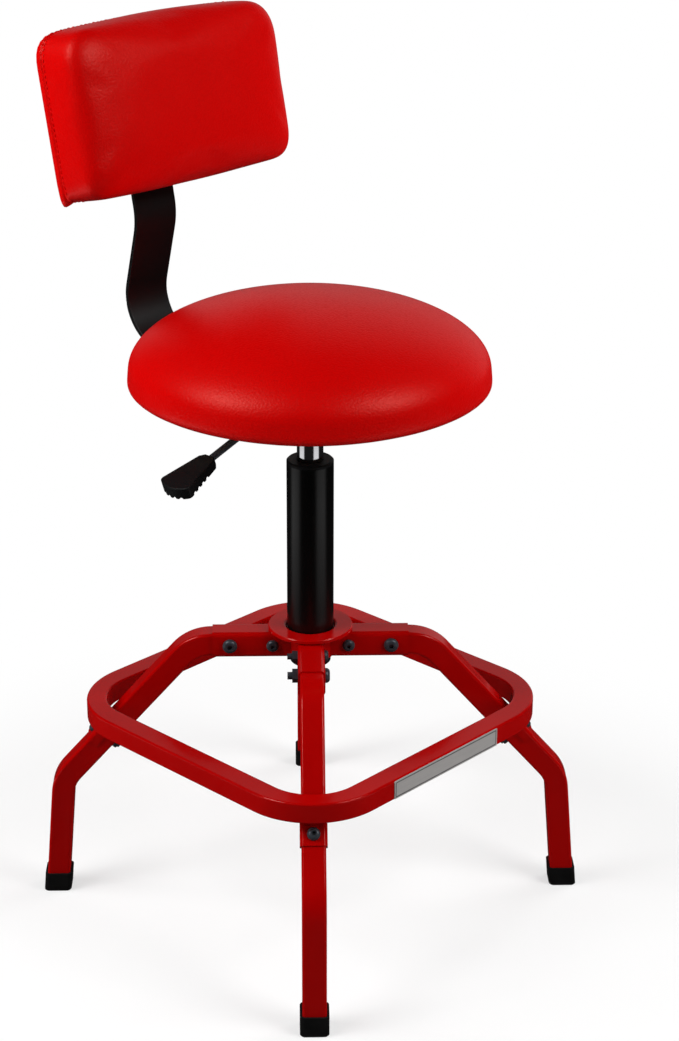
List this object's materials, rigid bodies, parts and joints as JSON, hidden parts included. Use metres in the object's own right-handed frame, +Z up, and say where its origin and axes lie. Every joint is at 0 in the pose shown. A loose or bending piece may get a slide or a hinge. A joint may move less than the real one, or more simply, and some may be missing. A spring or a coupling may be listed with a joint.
{
  "type": "swivel shop stool with backrest",
  "caption": "Height-adjustable swivel shop stool with a round red padded seat, small padded backrest, red bent-tube legs and a square footrest ring.",
  "frame": {"origin": "on the floor, under the axis of the column", "axes": "+Z up along the column, -Y the way the sitter faces, +X to the sitter's left"},
  "size_m": [0.441, 0.4845, 0.9531],
  "materials": {
    "red_paint": "gloss red powder coat",
    "black_paint": "satin black paint",
    "red_vinyl": "grained red vinyl, soft sheen",
    "chrome_plate": "bright chrome plate",
    "zinc_steel": "bright zinc-plated steel",
    "black_steel": "black oxide",
    "black_plastic": "moulded, fine matte grain",
    "black_rubber": "matte black rubber",
    "silver_plate": "brushed, bare",
    "plywood": "bare plywood"
  },
  "bodies": {
    "base": {"hub_tube": "red_paint", "hub_flange": "red_paint", "footrest_ring": "red_paint", "sleeve_back_right": "red_paint", "leg_back_right": "red_paint", "foot_cap_back_right": "black_rubber", "ring_tab_back_right": "red_paint", "sleeve_back_left": "red_paint", "leg_back_left": "red_paint", "foot_cap_back_left": "black_rubber", "ring_tab_back_left": "red_paint", "sleeve_front_left": "red_paint", "leg_front_left": "red_paint", "foot_cap_front_left": "black_rubber", "ring_tab_front_left": "red_paint", "sleeve_front_right": "red_paint", "leg_front_right": "red_paint", "foot_cap_front_right": "black_rubber", "ring_tab_front_right": "red_paint", "name_plate": "silver_plate", "outer_socket_bolts": "black_steel", "inner_socket_bolts": "black_steel", "ring_bolts": "black_steel", "outer_socket_nuts": "black_steel", "inner_socket_nuts": "black_steel", "ring_nuts": "black_steel", "column_tube": "black_paint", "guide_bush": "black_plastic", "lower_race": "zinc_steel", "roller_ring": "zinc_steel"},
    "spindle": {"upper_race": "zinc_steel", "piston_rod": "zinc_steel", "piston": "zinc_steel", "rod_clip": "zinc_steel", "bumper": "black_rubber"},
    "seat": {"pressure_tube": "chrome_plate", "valve_block": "zinc_steel", "end_seal": "black_plastic", "taper_socket": "black_paint", "seat_housing": "black_paint", "seat_plate": "black_paint", "pivot_pin": "zinc_steel", "seat_board": "plywood", "seat_cushion": "red_vinyl", "seat_bolts": "zinc_steel", "backrest_bracket": "black_paint", "bracket_bolts": "zinc_steel", "back_shell": "black_plastic", "back_bolts": "zinc_steel", "back_pad": "red_vinyl"},
    "lever": {"lever_rod": "black_steel", "lever_paddle": "black_plastic"},
    "release": {"release_pin": "zinc_steel"}
  },
  "joints": [
    {"name": "swivel", "type": "hinge", "parent": "base", "child": "spindle", "pos_m": [0, 0, 0.29], "axis": [0, 0, 1], "continuous": true},
    {"name": "height", "type": "slide", "parent": "spindle", "child": "seat", "axis": [0, 0, 1], "range_m": [-0.025, 0.055]},
    {"name": "lever", "type": "hinge", "parent": "seat", "child": "lever", "pos_m": [-0.038, 0, 0.5755], "axis": [0, 1, 0], "range_deg": [0, 6], "stiffness_Nm_per_rad": 15},
    {"name": "release", "type": "slide", "parent": "seat", "child": "release", "axis": [0, 0, -1], "range_m": [0, 0.0045]}
  ],
  "couplings": [
    {"joint": "release", "follows": "lever", "m_per_rad": 0.0415}
  ]
}
